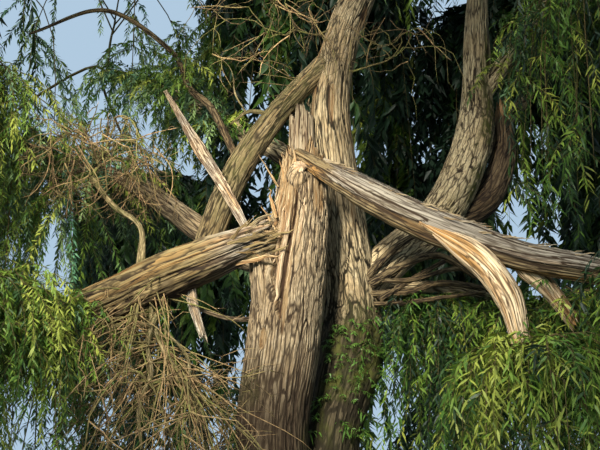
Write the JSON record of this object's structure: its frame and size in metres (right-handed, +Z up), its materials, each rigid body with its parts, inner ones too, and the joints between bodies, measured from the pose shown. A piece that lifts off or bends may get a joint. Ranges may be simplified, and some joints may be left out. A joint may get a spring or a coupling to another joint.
{
  "type": "weeping willow tree",
  "caption": "Old weeping willow with a flared trunk, storm-torn stems, a fallen bough, bare dead twigs and hanging curtains of narrow leaves.",
  "frame": {"origin": "the middle of the flat cut under the trunk, at ground level", "axes": "+Z up, -Y towards the person who looks at the open, storm-broken side, +X to that person's right"},
  "size_m": [12.4672, 11.9747, 12.2152],
  "materials": {
    "bark": "deeply furrowed grey-brown bark",
    "torn_wood": "fibrous torn wood, tan and ochre",
    "foliage": "narrow leaves on thin hanging twigs",
    "dead_twigs": "dry bare twigs"
  },
  "bodies": {
    "root": {"trunk": "bark", "front_stem": "bark", "back_stem": "bark", "torn_prong": "torn_wood", "back_slab": "torn_wood", "left_bough": "torn_wood", "fallen_bough": "torn_wood", "fallen_prong_front": "torn_wood", "fallen_prong_back": "torn_wood", "left_stub": "torn_wood", "standing_splinter": "torn_wood", "left_far_bough": "bark", "leaning_bough": "bark", "arching_branch": "bark", "right_stem": "bark", "right_fork": "bark", "dark_stub": "bark", "low_right_bough": "bark", "hanging_branch": "bark", "dead_branch": "bark", "top_bough_centre": "bark", "top_bough_left": "bark", "top_bough_right": "bark", "top_bough_front": "bark", "left_front_bough": "bark", "back_bough": "bark", "back_left_bough": "bark", "back_right_bough": "bark", "crown_top": "foliage", "crown_left": "foliage", "crown_right": "foliage", "crown_front": "foliage", "crown_back": "foliage", "mid_right": "foliage", "mid_right_front": "foliage", "mid_front": "foliage", "mid_left_front": "foliage", "mid_left": "foliage", "mid_back_left": "foliage", "mid_back": "foliage", "mid_back_right": "foliage", "curtain_right": "foliage", "curtain_back_right": "foliage", "curtain_back": "foliage", "curtain_back_left": "foliage", "curtain_left_back": "foliage", "curtain_left": "foliage", "curtain_left_front": "foliage", "curtain_right_front": "foliage", "right_spray": "foliage", "low_right_spray": "foliage", "low_middle_spray": "foliage", "low_back_spray": "foliage", "low_left_spray": "foliage", "left_spray": "foliage", "dead_twigs_low": "dead_twigs", "dead_twigs_left": "dead_twigs", "dead_twigs_top": "dead_twigs", "dead_twigs_right": "dead_twigs"}
  },
  "joints": []
}
